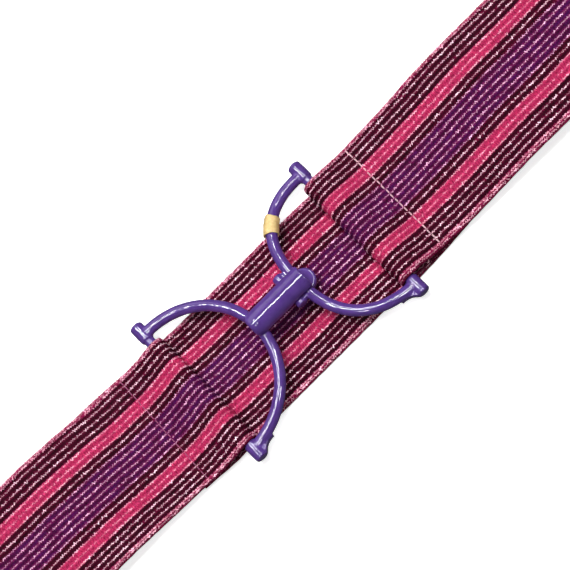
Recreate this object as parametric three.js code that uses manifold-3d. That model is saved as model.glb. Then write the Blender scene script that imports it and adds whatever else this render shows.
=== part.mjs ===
// Elastic belt with a two-piece interlocking metal clasp, fastened and laid flat as a closed loop.
// Millimetres. +X runs along the belt, +Y across it, +Z up from the surface that it lies on.
// The origin is on that surface, under the middle of the clasp.
import * as THREE from 'three';
import { mergeVertices } from 'three/addons/utils/BufferGeometryUtils.js';
import Module from 'manifold-3d';

// Elastic webbing
const ELASTIC_WIDTH = 50;
const ELASTIC_THICKNESS = 1.5;
const LOOP_LENGTH = 334;
const BIGHT_HEIGHT = 12.4;
const BIGHT_REACH = 7.5;
const LAYER_GAP = 0.3;
const LEFT_SEAM = 17.8;
const RIGHT_SEAM = 16.2;
const HEM_PAST_SEAM = 3.6;
const ELASTIC_SIDE_SLIP = -0.8;

// Bars that the folded ends run round, with a round knob on each end
const BAR_SPACING = 78;
const BAR_DIAMETER = 4;
const BAR_GAP = 0.3;
const KNOB_DIAMETER = 5.1;
const KNOB_LENGTH = 7.3;
const KNOB_RIM = 0.8;
const KNOB_CLEARANCE = 0.9;
const HALF_SLIP = 0.35;

// Curved arms from the knobs to the middle
const ARM_DIAMETER = 4.2;
const ARM_FROM_KNOB_END = 2.7;
const LEFT_ARM_FULLNESS = 2;
const RIGHT_ARM_FULLNESS = 2.42;
const ARM_SIDES = 14;
const HUB_HEIGHT = 10;
const LEFT_HUB_X = -8.9;
const RIGHT_HUB_X = 11.65;
const FLARE_LENGTH = 5.2;
const FLARE_DEPTH = 1.9;
const FLARE_THICKNESS = 3;

// Barrel and hook of the left half
const BARREL_DIAMETER = 9.2;
const BARREL_START = -11.3;
const BARREL_END = 14.3;
const BARREL_START_RIM = 1.1;
const BARREL_END_RIM = 0.4;
const BARREL_LIFT = 2.8;
const HOOK_WIDTH = 4.8;
const HOOK_THICKNESS = 2;
const HOOK_TOE_REACH = 3;
const HOOK_TOE_HEIGHT = 1.8;
const CLASP_CLEARANCE = 0.3;

// Crossbar and round end plate of the right half
const CROSSBAR_DIAMETER = 4.4;
const CROSSBAR_LENGTH = 14;
const CROSSBAR_RIM = 0.8;
const CROSSBAR_OFFSET = 4.2;
const CHEEK_HEIGHT = 3.2;
const PLATE_DIAMETER = 8.9;
const PLATE_X = 13.2;
const PLATE_THICKNESS = 3.2;
const PLATE_DROP = 1.6;
const PLATE_RIM = 0.5;

// Narrow cream band round the right half's upper arm
const BAND_LENGTH = 5.8;
const BAND_WALL = 0.85;
const BAND_PLACE = 0.757;

// Rise of the upper layer from the hem to the turn of the loop:
// reach is a share of the way along, rise a share of the height to climb.
const LAYER_RISE = [
  { reach: 0, rise: 0 },
  { reach: 0.1, rise: 0.03 },
  { reach: 0.19, rise: 0.16 },
  { reach: 0.29, rise: 0.36 },
  { reach: 0.4, rise: 0.5 },
  { reach: 0.56, rise: 0.6 },
  { reach: 0.76, rise: 0.8 },
  { reach: 0.9, rise: 0.97 },
  { reach: 1, rise: 1 },
];

// Width of the elastic along the loop: reach is a share of half the loop, width a share of the width.
const WIDTH_ALONG = [
  { reach: 0, width: 0.976 },
  { reach: 0.36, width: 0.984 },
  { reach: 0.58, width: 1.01 },
  { reach: 1, width: 1.02 },
];

const barX = BAR_SPACING / 2;
const barRadius = BAR_DIAMETER / 2;
const halfThickness = ELASTIC_THICKNESS / 2;
const foldRadius = barRadius + BAR_GAP + halfThickness;
const tabHeight = ELASTIC_THICKNESS + LAYER_GAP + halfThickness;
const barHeight = tabHeight + foldRadius;
const seamHeight = tabHeight + ELASTIC_THICKNESS + LAYER_GAP;
const knobInnerEnd = ELASTIC_WIDTH / 2 + KNOB_CLEARANCE;
const knobMiddle = knobInnerEnd + KNOB_LENGTH / 2;
const armY = knobInnerEnd + ARM_FROM_KNOB_END;
const crossbarRadius = CROSSBAR_DIAMETER / 2;
const crossbarX = RIGHT_HUB_X - CROSSBAR_OFFSET;
const slotStart = crossbarX + crossbarRadius;
const slotEnd = slotStart + HOOK_THICKNESS + 2 * CLASP_CLEARANCE;
const slotHalfWidth = HOOK_WIDTH / 2 + 2 * HALF_SLIP + CLASP_CLEARANCE;

const wasm = await Module();
wasm.setup();

function toSolid(geometry) {
  const bare = new THREE.BufferGeometry();
  bare.setAttribute('position', geometry.getAttribute('position').clone());
  if (geometry.index) {
    bare.setIndex(geometry.index.clone());
  }
  const merged = mergeVertices(bare, 1e-4);
  return new wasm.Manifold(new wasm.Mesh({
    numProp: 3,
    vertProperties: new Float32Array(merged.getAttribute('position').array),
    triVerts: new Uint32Array(merged.index.array),
  }));
}

function toGeometry(solid) {
  const mesh = solid.getMesh();
  const geometry = new THREE.BufferGeometry();
  geometry.setAttribute('position', new THREE.BufferAttribute(mesh.vertProperties, 3));
  geometry.setIndex(new THREE.BufferAttribute(mesh.triVerts, 1));
  geometry.computeVertexNormals();
  return geometry;
}

function join(geometries) {
  return geometries.map(toSolid).reduce((whole, piece) => whole.add(piece));
}

// A round pin along +Y, centred on the origin, with its two rims rounded.
function roundPin(diameter, length, startRim, endRim, sides) {
  const radius = diameter / 2;
  const profile = [new THREE.Vector2(0, -length / 2)];
  const rimSteps = 4;
  for (let step = 0; step <= rimSteps; step += 1) {
    const angle = (step / rimSteps) * Math.PI / 2;
    profile.push(new THREE.Vector2(
      radius - startRim + startRim * Math.sin(angle),
      -length / 2 + startRim - startRim * Math.cos(angle),
    ));
  }
  for (let step = 0; step <= rimSteps; step += 1) {
    const angle = (step / rimSteps) * Math.PI / 2;
    profile.push(new THREE.Vector2(
      radius - endRim + endRim * Math.cos(angle),
      length / 2 - endRim + endRim * Math.sin(angle),
    ));
  }
  profile.push(new THREE.Vector2(0, length / 2));
  return new THREE.LatheGeometry(profile, sides);
}

function block(x0, x1, y0, y1, z0, z1) {
  const box = new THREE.BoxGeometry(x1 - x0, y1 - y0, z1 - z0);
  return box.translate((x0 + x1) / 2, (y0 + y1) / 2, (z0 + z1) / 2);
}

// Centre line of both arms of one half, from the lower knob through the hub to the upper knob.
// Seen from above it is half of an ellipse, or of a fuller one, and it climbs from the bar to the hub.
class ArmLine extends THREE.Curve {
  constructor(side, hubX, fullness) {
    super();
    this.barX = side * barX;
    this.hubX = hubX;
    this.power = 2 / fullness;
  }

  getPoint(t, target = new THREE.Vector3()) {
    const angle = (t - 0.5) * Math.PI;
    const inward = Math.max(0, Math.cos(angle)) ** this.power;
    const across = Math.sign(angle) * Math.abs(Math.sin(angle)) ** this.power;
    return target.set(
      this.barX + (this.hubX - this.barX) * inward,
      armY * across,
      barHeight + (HUB_HEIGHT - barHeight) * inward,
    );
  }
}

// The part of a curve between two places along it.
class Stretch extends THREE.Curve {
  constructor(line, start, end) {
    super();
    this.line = line;
    this.start = start;
    this.end = end;
  }

  getPoint(t, target = new THREE.Vector3()) {
    return this.line.getPointAt(this.start + (this.end - this.start) * t, target);
  }
}

function circle(radius) {
  const shape = new THREE.Shape();
  shape.absarc(0, 0, radius, 0, 2 * Math.PI, false);
  return shape;
}

function tubeAlong(line, shape, steps) {
  return new THREE.ExtrudeGeometry(shape, { steps, curveSegments: ARM_SIDES / 2, extrudePath: line });
}

// Web that widens the arm to the outer end of a lower knob.
function flare(side) {
  const x = side * barX;
  const inner = x - side * (KNOB_DIAMETER / 2 + FLARE_LENGTH);
  const armEdge = -armY - ARM_DIAMETER / 2 + 0.1 * ARM_DIAMETER;
  const outer = -armY - ARM_DIAMETER / 2 - FLARE_DEPTH;
  const shape = new THREE.Shape();
  shape.moveTo(x, outer);
  shape.lineTo(x - side * KNOB_DIAMETER / 2, outer);
  shape.quadraticCurveTo(x - side * (KNOB_DIAMETER / 2 + 0.3 * FLARE_LENGTH), armEdge, inner, armEdge);
  shape.lineTo(inner, -armY);
  shape.lineTo(x, -armY);
  shape.closePath();
  const web = new THREE.ExtrudeGeometry(shape, {
    depth: FLARE_THICKNESS,
    curveSegments: 5,
    bevelEnabled: false,
  });
  return web.translate(0, 0, barHeight - FLARE_THICKNESS / 2);
}

// Bar, two knobs, two arms and the flares of one half.
function harp(side, armLine) {
  const bar = new THREE.CylinderGeometry(barRadius, barRadius, 2 * knobMiddle, 16);
  bar.translate(side * barX, 0, barHeight);
  const knobs = [-1, 1].map((end) => {
    const knob = roundPin(KNOB_DIAMETER, KNOB_LENGTH, KNOB_RIM, KNOB_RIM, 20);
    return knob.translate(side * barX, end * knobMiddle, barHeight);
  });
  const arms = tubeAlong(armLine, circle(ARM_DIAMETER / 2), 56);
  return join([bar, ...knobs, arms, flare(side)]);
}

// Left half: the barrel lies over its arms. Past the crossbar only its upper part goes on,
// and a hook goes down from there through the slot of the right half.
function barrelHalf() {
  const length = BARREL_END - BARREL_START;
  const barrelHeight = HUB_HEIGHT + BARREL_LIFT;
  const barrel = roundPin(BARREL_DIAMETER, length, BARREL_START_RIM, BARREL_END_RIM, 28);
  barrel.rotateZ(-Math.PI / 2);
  barrel.translate((BARREL_START + BARREL_END) / 2, 0, barrelHeight);
  const saddleStart = crossbarX - crossbarRadius - CLASP_CLEARANCE;
  const saddleHeight = HUB_HEIGHT + Math.max(crossbarRadius, ARM_DIAMETER / 2) + CLASP_CLEARANCE;
  const cut = block(
    saddleStart, BARREL_END + BARREL_DIAMETER,
    -BARREL_DIAMETER, BARREL_DIAMETER,
    barrelHeight - BARREL_DIAMETER, saddleHeight,
  );
  const hookStart = slotStart + CLASP_CLEARANCE;
  const hookEnd = slotEnd - CLASP_CLEARANCE;
  const toeTop = HUB_HEIGHT - crossbarRadius - CLASP_CLEARANCE;
  const toeBottom = toeTop - HOOK_TOE_HEIGHT;
  const shank = block(
    hookStart, hookEnd, -HOOK_WIDTH / 2, HOOK_WIDTH / 2, toeBottom, saddleHeight + 0.2 * BARREL_DIAMETER,
  );
  const toe = block(
    hookStart - HOOK_TOE_REACH, hookEnd, -HOOK_WIDTH / 2, HOOK_WIDTH / 2, toeBottom, toeTop,
  );
  return harp(-1, new ArmLine(-1, LEFT_HUB_X, LEFT_ARM_FULLNESS))
    .add(toSolid(barrel).subtract(toSolid(cut)))
    .add(toSolid(shank))
    .add(toSolid(toe));
}

// Right half: the crossbar lies beside the arms, tied to them by a cheek at each end of the slot,
// and a round plate closes the end.
// The slot between them takes the hook, and the plate is open below it too.
function eyeHalf(armLine) {
  const crossbar = roundPin(CROSSBAR_DIAMETER, CROSSBAR_LENGTH, CROSSBAR_RIM, CROSSBAR_RIM, 20);
  crossbar.translate(crossbarX, 0, HUB_HEIGHT);
  const plate = roundPin(PLATE_DIAMETER, PLATE_THICKNESS, PLATE_RIM, PLATE_RIM, 28);
  plate.rotateX(Math.PI / 2);
  plate.translate(PLATE_X, 0, HUB_HEIGHT - PLATE_DROP - PLATE_THICKNESS / 2);
  const cheekWidth = CROSSBAR_LENGTH / 2 - CROSSBAR_RIM - slotHalfWidth;
  const cheeks = [-1, 1].map((end) => {
    const cheek = new THREE.BoxGeometry(CROSSBAR_OFFSET, cheekWidth, CHEEK_HEIGHT);
    return cheek.translate(
      crossbarX + CROSSBAR_OFFSET / 2,
      end * (slotHalfWidth + cheekWidth / 2),
      HUB_HEIGHT,
    );
  });
  const slot = block(slotStart, slotEnd, -slotHalfWidth, slotHalfWidth, 0, 2 * HUB_HEIGHT);
  const pocket = block(
    PLATE_X - PLATE_DIAMETER, slotEnd, -slotHalfWidth, slotHalfWidth, 0, HUB_HEIGHT,
  );
  return harp(1, armLine)
    .add(join([crossbar, ...cheeks]))
    .subtract(toSolid(slot))
    .add(toSolid(plate).subtract(toSolid(pocket)));
}

function armBand(armLine) {
  const innerRadius = ARM_DIAMETER / 2 + LAYER_GAP;
  const shape = circle(innerRadius + BAND_WALL);
  const hole = new THREE.Path();
  hole.absarc(0, 0, innerRadius, 0, 2 * Math.PI, true);
  shape.holes.push(hole);
  const half = BAND_LENGTH / 2 / armLine.getLength();
  return tubeAlong(new Stretch(armLine, BAND_PLACE - half, BAND_PLACE + half), shape, 4);
}

// Upper layer of one side, from the top of the bar out to where the loop turns,
// as places { out, up } of its centre line: out is the distance from the middle of the clasp.
function upperLayer(seam, turnX) {
  const points = [];
  const dropSteps = 9;
  for (let step = 0; step <= dropSteps; step += 1) {
    const share = step / dropSteps;
    const height = (1 + Math.cos(Math.PI * share)) / 2;
    points.push({
      out: barX + seam * share,
      up: seamHeight + (barHeight + foldRadius - seamHeight) * height,
    });
  }
  const hemEnd = barX + seam + HEM_PAST_SEAM + ELASTIC_THICKNESS;
  const crest = BIGHT_HEIGHT - halfThickness;
  const rise = new THREE.SplineCurve(LAYER_RISE.map((row) => new THREE.Vector2(
    hemEnd + (turnX - hemEnd) * row.reach,
    seamHeight + (crest - seamHeight) * row.rise,
  )));
  rise.getPoints(26).forEach((point) => points.push({ out: point.x, up: point.y }));
  return points;
}

// Half ring of the fold round a bar, from below to above.
function foldRound(seam) {
  const points = [{ out: barX + seam + HEM_PAST_SEAM, up: tabHeight }];
  const foldSteps = 12;
  for (let step = 0; step <= foldSteps; step += 1) {
    const angle = (step / foldSteps) * Math.PI;
    points.push({
      out: barX - foldRadius * Math.sin(angle),
      up: barHeight - foldRadius * Math.cos(angle),
    });
  }
  return points;
}

// Turn of the loop at one end, from the upper layer down to the lower one.
function turn(turnX) {
  const points = [];
  const crest = BIGHT_HEIGHT - halfThickness;
  const middle = (crest + halfThickness) / 2;
  const turnSteps = 14;
  for (let step = 1; step <= turnSteps; step += 1) {
    const angle = (step / turnSteps) * Math.PI;
    points.push({
      out: turnX + (BIGHT_REACH - halfThickness) * Math.sin(angle),
      up: middle + (crest - middle) * Math.cos(angle),
    });
  }
  return points;
}

function shareAlong(table, reach) {
  const next = table.findIndex((row) => row.reach >= reach);
  if (next <= 0) {
    return next === 0 ? table[0].width : table[table.length - 1].width;
  }
  const from = table[next - 1];
  const to = table[next];
  const part = (reach - from.reach) / (to.reach - from.reach);
  return from.width + (to.width - from.width) * part;
}

// One strip from hem to hem: round the left bar, out to the left turn, back along the floor,
// round the right turn, in to the right bar and round it.
function elasticBand() {
  const turnX = LOOP_LENGTH / 2 - BIGHT_REACH;
  const sideLine = (seam) => [...foldRound(seam), ...upperLayer(seam, turnX).slice(1), ...turn(turnX)];
  const left = sideLine(LEFT_SEAM).map((place) => new THREE.Vector2(-place.out, place.up));
  const right = sideLine(RIGHT_SEAM).map((place) => new THREE.Vector2(place.out, place.up));
  const line = [...left, ...right.reverse()].filter((point, index, all) => (
    index === 0 || point.distanceTo(all[index - 1]) > 0.01
  ));
  const edge = (offset) => line.map((point, index) => {
    const before = line[Math.max(0, index - 1)];
    const after = line[Math.min(line.length - 1, index + 1)];
    const along = after.clone().sub(before).normalize();
    return new THREE.Vector2(point.x - along.y * offset, point.y + along.x * offset);
  });
  const outline = [...edge(halfThickness), ...edge(-halfThickness).reverse()];
  const strip = new THREE.ExtrudeGeometry(new THREE.Shape(outline), {
    depth: ELASTIC_WIDTH,
    bevelEnabled: false,
  });
  strip.translate(0, 0, -ELASTIC_WIDTH / 2).rotateX(Math.PI / 2);
  const position = strip.getAttribute('position');
  for (let index = 0; index < position.count; index += 1) {
    const reach = Math.abs(position.getX(index)) / (LOOP_LENGTH / 2);
    const width = shareAlong(WIDTH_ALONG, reach);
    position.setY(index, position.getY(index) * width);
  }
  return toSolid(strip);
}

function makePiece(name, solid, material) {
  const mesh = new THREE.Mesh(toGeometry(solid), material);
  mesh.name = name;
  return mesh;
}

const webbing = new THREE.MeshStandardMaterial({ color: 0x8f1f4f, roughness: 0.75, metalness: 0.1 });
const purpleEnamel = new THREE.MeshStandardMaterial({ color: 0x53388f, roughness: 0.25, metalness: 0.3 });
const creamTape = new THREE.MeshStandardMaterial({ color: 0xe4cd84, roughness: 0.6, metalness: 0 });

const belt = new THREE.Group();

const elastic = makePiece('elastic_band', elasticBand(), webbing);
elastic.position.y = ELASTIC_SIDE_SLIP;

const leftHalf = makePiece('barrel_half', barrelHalf(), purpleEnamel);
leftHalf.position.y = -HALF_SLIP;

const eyeArms = new ArmLine(1, RIGHT_HUB_X, RIGHT_ARM_FULLNESS);
const rightHalf = new THREE.Group();
rightHalf.position.y = HALF_SLIP;
rightHalf.add(
  makePiece('eye_half', eyeHalf(eyeArms), purpleEnamel),
  makePiece('arm_band', toSolid(armBand(eyeArms)), creamTape),
);

belt.add(elastic, leftHalf, rightHalf);

export default belt;
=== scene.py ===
# %% [markdown]
# # An elastic belt with an interlocking clasp
# The belt lies flat as a closed loop: one strip of ribbed, glittering elastic, and a clasp of two
# enamelled halves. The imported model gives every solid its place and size. This file gives the looks:
# it loads that model first, keeps its box, and never moves or resizes a solid.

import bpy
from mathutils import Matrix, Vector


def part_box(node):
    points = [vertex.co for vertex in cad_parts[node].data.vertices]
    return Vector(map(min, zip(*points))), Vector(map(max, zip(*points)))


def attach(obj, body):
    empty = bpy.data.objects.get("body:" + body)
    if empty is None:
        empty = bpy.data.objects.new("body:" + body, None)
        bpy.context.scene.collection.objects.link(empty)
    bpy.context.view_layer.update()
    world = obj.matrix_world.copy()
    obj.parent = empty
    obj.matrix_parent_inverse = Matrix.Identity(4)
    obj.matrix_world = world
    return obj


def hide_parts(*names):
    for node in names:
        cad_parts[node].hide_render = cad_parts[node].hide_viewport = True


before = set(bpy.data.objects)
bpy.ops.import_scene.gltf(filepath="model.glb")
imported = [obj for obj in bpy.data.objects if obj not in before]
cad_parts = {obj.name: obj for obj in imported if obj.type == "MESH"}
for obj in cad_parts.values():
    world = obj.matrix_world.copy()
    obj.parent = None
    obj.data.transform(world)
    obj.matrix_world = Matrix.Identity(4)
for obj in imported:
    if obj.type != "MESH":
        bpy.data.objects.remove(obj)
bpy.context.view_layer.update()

# %% Libraries
import math

import bpy
import numpy as np
from mathutils import Matrix, Vector, noise

MM = 0.001
scene = bpy.context.scene
print("Blender", bpy.app.version_string)

# %% [markdown]
# ## Camera
# A product photo of a belt this size is taken with a long lens, so that the strip keeps the same width
# from end to end. The camera stands 0.9 m away, leans 19 degrees towards the near edge of the belt and
# is turned so that the belt crosses the square frame from corner to corner. Its matrix is built from
# three directions: right, up, and back towards the camera.

# %% Place the camera
FRAME_PX = 570
FOCAL_PX = 2607
SENSOR_MM = 36
CAMERA_DISTANCE = 0.9
CAMERA_TARGET = Vector((7.75, 6.6, 0)) * MM
CAMERA_LEAN = math.radians(19.4)
CAMERA_SIDE_LEAN = math.radians(1.0)
BELT_TURN = math.radians(46.4)


def make_camera():
    back = Vector((-math.tan(CAMERA_SIDE_LEAN), -math.tan(CAMERA_LEAN), 1)).normalized()
    photo_up = Vector((math.cos(BELT_TURN), math.sin(BELT_TURN), 0))
    right = photo_up.cross(back).normalized()
    up = back.cross(right)
    camera = bpy.data.objects.new("camera", bpy.data.cameras.new("camera"))
    camera.data.sensor_width = SENSOR_MM
    camera.data.lens = SENSOR_MM * FOCAL_PX / FRAME_PX
    turned = Matrix((right, up, back)).transposed().to_4x4()
    camera.matrix_world = Matrix.Translation(CAMERA_TARGET + back * CAMERA_DISTANCE) @ turned
    scene.collection.objects.link(camera)
    scene.camera = camera
    return camera


camera = make_camera()
print("camera at", tuple(round(c, 3) for c in camera.location), "lens", round(camera.data.lens, 1))

# %% [markdown]
# ## Meshes from numbers
# The strip, its threads and the enamelled parts are all rows of points joined by quads: a ring of
# points is repeated along a path, and each ring is joined to the next. Numpy makes the points at once,
# which is quick enough for a hundred thousand quads.

# %% Helpers that make a piece
def ring_quads(rows, ring, start=0):
    row, place = np.meshgrid(np.arange(rows - 1), np.arange(ring), indexing="ij")
    after = (place + 1) % ring
    corners = (row * ring + place, row * ring + after, (row + 1) * ring + after, (row + 1) * ring + place)
    return start + np.stack(corners, axis=-1).reshape(-1, 4)


def closed_faces(rows, ring, start=0):
    """The quads of a tube of rings, and one face that closes each end."""
    first = list(range(start + ring - 1, start - 1, -1))
    last = list(range(start + (rows - 1) * ring, start + rows * ring))
    return ring_quads(rows, ring, start).tolist() + [first, last]


def signed_volume(mesh):
    mesh.calc_loop_triangles()
    points = np.empty(len(mesh.vertices) * 3)
    mesh.vertices.foreach_get("co", points)
    corners = np.empty(len(mesh.loop_triangles) * 3, dtype=np.int32)
    mesh.loop_triangles.foreach_get("vertices", corners)
    a, b, c = points.reshape(-1, 3)[corners.reshape(-1, 3)].transpose(1, 0, 2)
    return float((a * np.cross(b, c)).sum() / 6)


def make_piece(name, points, faces, smooth=True):
    mesh = bpy.data.meshes.new(name)
    mesh.from_pydata(np.asarray(points, dtype=float).tolist(), [], [list(map(int, face)) for face in faces])
    if signed_volume(mesh) < 0:
        mesh.flip_normals()
    mesh.polygons.foreach_set("use_smooth", [smooth] * len(mesh.polygons))
    piece = bpy.data.objects.new(name, mesh)
    scene.collection.objects.link(piece)
    return piece


def count_triangles(piece):
    return sum(len(face.vertices) - 2 for face in piece.data.polygons)


# %% [markdown]
# ## Finishes from nodes
# A finish is a small graph of nodes that ends in the Principled shader. What varies over a surface, such
# as a colour or a bump, is linked from noise and ramps. What is the same all over is set on the shader's
# own socket, so that other programs can read it too.

# %% Helpers that make a finish
def make_finish(name):
    finish = bpy.data.materials.new(name)
    finish.use_nodes = True
    return finish, finish.node_tree, finish.node_tree.nodes["Principled BSDF"]


def add_node(tree, kind, inputs=None, **settings):
    made = tree.nodes.new(kind)
    for key, value in settings.items():
        setattr(made, key, value)
    for key, value in (inputs or {}).items():
        if isinstance(value, bpy.types.NodeSocket):
            tree.links.new(value, made.inputs[key])
        else:
            made.inputs[key].default_value = value
    return made


def set_sockets(shader, values):
    for name, value in values.items():
        shader.inputs[name].default_value = value


def linear(red, green, blue):
    """A colour written as 0 to 255, as the shaders want it."""
    shares = [value / 255 for value in (red, green, blue)]
    return tuple(s / 12.92 if s <= 0.04045 else ((s + 0.055) / 1.055) ** 2.4 for s in shares) + (1,)


def mix_colours(tree, factor, first, second):
    mixed = add_node(tree, "ShaderNodeMix", {"Factor": factor}, data_type="RGBA")
    tree.links.new(first, mixed.inputs["A"])
    tree.links.new(second, mixed.inputs["B"])
    return mixed.outputs["Result"]


def add_ramp(tree, factor, stops, interpolation="LINEAR"):
    ramp = add_node(tree, "ShaderNodeValToRGB", {"Fac": factor})
    ramp.color_ramp.interpolation = interpolation
    elements = ramp.color_ramp.elements
    while len(elements) < len(stops):
        elements.new(0.5)
    for element, (place, colour) in zip(elements, stops):
        element.position = place
        element.color = colour
    return ramp.outputs["Color"]


def add_math(tree, operation, *values):
    return add_node(tree, "ShaderNodeMath", dict(enumerate(values)), operation=operation).outputs[0]


def add_range(tree, value, start, end, low=0, high=1):
    """The value's way from start to end, turned into a number from low to high."""
    limits = {"Value": value, "From Min": start, "From Max": end, "To Min": low, "To Max": high}
    return add_node(tree, "ShaderNodeMapRange", limits).outputs[0]


def add_noise(tree, place, scale, detail):
    settings = {"Vector": place, "Scale": scale, "Detail": detail}
    return add_node(tree, "ShaderNodeTexNoise", settings).outputs["Fac"]


def add_grain(tree, place, grain, detail):
    """Noise that is finer one way than the other."""
    stretched = add_node(tree, "ShaderNodeVectorMath", {0: place, 1: grain}, operation="MULTIPLY").outputs[0]
    return add_noise(tree, stretched, 1, detail)


def add_bump(tree, shader, height, strength, distance):
    bump = add_node(tree, "ShaderNodeBump", {"Height": height, "Strength": strength, "Distance": distance})
    tree.links.new(bump.outputs[0], shader.inputs["Normal"])
    return bump.outputs[0]


print("helpers ready")

# %% [markdown]
# ## The strip's path
# The elastic is one strip. It starts as a hem under the left end, goes round the left bar, climbs along
# the top to the turn of the loop, comes back along the floor, and ends in the same way on the right. So
# its side view is one long line, and everything on the strip is placed by two numbers: how far along
# that line, and which share of the width from the far edge.

# %% Sizes of the belt, in metres
elastic_low, elastic_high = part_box("elastic_band")
left_low, left_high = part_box("barrel_half")
right_low, right_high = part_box("eye_half")

ELASTIC_WIDTH = 50 * MM
ELASTIC_THICKNESS = 1.5 * MM
BIGHT_REACH = 7.5 * MM
LAYER_GAP = 0.3 * MM
LEFT_SEAM = 17.8 * MM
RIGHT_SEAM = 16.2 * MM
HEM_PAST_SEAM = 3.6 * MM
BAR_DIAMETER = 4 * MM
KNOB_DIAMETER = 5.1 * MM

half_loop = elastic_high.x
bight_height = elastic_high.z
bar_x = right_high.x - KNOB_DIAMETER / 2
half_thickness = ELASTIC_THICKNESS / 2
fold_radius = BAR_DIAMETER / 2 + LAYER_GAP + half_thickness
tab_height = ELASTIC_THICKNESS + LAYER_GAP + half_thickness
bar_height = tab_height + fold_radius
seam_height = tab_height + ELASTIC_THICKNESS + LAYER_GAP
crest = bight_height - half_thickness
turn_x = half_loop - BIGHT_REACH
print("bars at", round(bar_x / MM, 2), "mm, loop", round(2 * half_loop / MM, 1), "mm long")

# %% Line of the strip, hem to hem
LINE_PLACES = 6001
TURN_SPAN = 9
LAYER_RISE = np.array([
    (0, 0), (0.1, 0.03), (0.19, 0.16), (0.29, 0.36), (0.4, 0.5),
    (0.56, 0.6), (0.76, 0.8), (0.9, 0.97), (1, 1),
])


def through(points, count):
    """A smooth curve through the points."""
    last = len(points) - 1
    place = np.linspace(0, last, count)
    index = np.minimum(place.astype(int), last - 1)
    t = (place - index)[:, None]
    before, start = points[np.maximum(index - 1, 0)], points[index]
    end, after = points[index + 1], points[np.minimum(index + 2, last)]
    leave, arrive = (end - before) / 2, (after - start) / 2
    cubic = (2 * start - 2 * end + leave + arrive) * t ** 3
    square = (-3 * start + 3 * end - 2 * leave - arrive) * t ** 2
    return cubic + square + leave * t + start


def side_line(seam):
    """Half of the line, from the hem to the foot of the turn, as distance out and height."""
    angle = np.linspace(0, math.pi, 60)[:, None]
    fold = np.hstack([bar_x - fold_radius * np.sin(angle), bar_height - fold_radius * np.cos(angle)])
    share = np.linspace(0, 1, 60)[:, None]
    drop_height = (bar_height + fold_radius - seam_height) * (1 + np.cos(math.pi * share)) / 2
    drop = np.hstack([bar_x + seam * share, seam_height + drop_height])
    hem_end = bar_x + seam + HEM_PAST_SEAM + ELASTIC_THICKNESS
    start, span = np.array([hem_end, seam_height]), np.array([turn_x - hem_end, crest - seam_height])
    rise = through(start + LAYER_RISE * span, 300)
    middle = (crest + half_thickness) / 2
    turned = np.hstack([
        turn_x + (BIGHT_REACH - half_thickness) * np.sin(angle),
        middle + (crest - middle) * np.cos(angle),
    ])
    hem = np.array([[bar_x + seam + HEM_PAST_SEAM, tab_height]])
    return np.vstack([hem, fold, drop[1:], rise, turned[1:]])


left_line, right_line = side_line(LEFT_SEAM) * (-1, 1), side_line(RIGHT_SEAM)
rough_line = np.vstack([left_line, right_line[::-1]])
rough_run = np.concatenate([[0], np.cumsum(np.linalg.norm(np.diff(rough_line, axis=0), axis=1))])
strip_length = rough_run[-1]
run = np.linspace(0, strip_length, LINE_PLACES)
line_x, line_z = (np.interp(run, rough_run, rough_line[:, axis]) for axis in (0, 1))
line_turn = np.unwrap(np.arctan2(np.gradient(line_z, run), np.gradient(line_x, run)))
padded_turn = np.pad(line_turn, TURN_SPAN // 2, mode="edge")
line_turn = np.convolve(padded_turn, np.ones(TURN_SPAN) / TURN_SPAN, mode="valid")
print("the strip is cut", round(strip_length / MM, 1), "mm long")

# %% [markdown]
# ## Ribs and stripes across the strip
# The webbing is woven in 22 ribs. A pale metallic thread runs in each groove between two ribs, and the
# colour of the ribs makes the stripes. The shares below count from the far edge to the near one.

# %% Layout across the width
RIB_COUNT = 22
FIRST_GROOVE = 0.0105
RIB_SHARE = 0.0455
STRIPES = [
    {"end": 0.03, "yarn": "edge"},
    {"end": 0.182, "yarn": "dark"},
    {"end": 0.284, "yarn": "pink"},
    {"end": 0.376, "yarn": "dark"},
    {"end": 0.604, "yarn": "purple"},
    {"end": 0.69, "yarn": "dark"},
    {"end": 0.787, "yarn": "pink"},
    {"end": 0.955, "yarn": "dark"},
    {"end": 1.0, "yarn": "edge"},
]
grooves = FIRST_GROOVE + RIB_SHARE * np.arange(RIB_COUNT)


def yarn_at(share):
    return next((stripe["yarn"] for stripe in STRIPES if share <= stripe["end"]), "edge")


print("grooves", [round(float(share), 3) for share in grooves])

# %% [markdown]
# ## How the strip lies
# A laid belt isn't ruled: it drifts sideways, is pulled a little wider or narrower, and its rows crowd
# to one side where the fold is tight. A short table gives that at 16 places along the belt, for the
# upper and the lower layer. Calm waves add the rest: a billow, a sway and slightly ragged edges.

# %% Any place on the strip
GROOVE_DEPTH = 0.2 * MM
GROOVE_WIDTH = 0.42 * MM
SELVEDGE = 0.7 * MM
SELVEDGE_THINNING = 0.3 * MM
SEAM_PULL = 0.22 * MM
SEAM_PULL_WIDTH = 1.3 * MM
BILLOW = 0.35 * MM
BILLOW_START = 26 * MM
BILLOW_FULL = 45 * MM
SWAY = 0.22 * MM
RAGGED_EDGE = 0.09 * MM
LAYER_CHANGE = (0.8, 1.6)
EDGE_POWER = 8
CROWDING_POWER = 4
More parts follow.
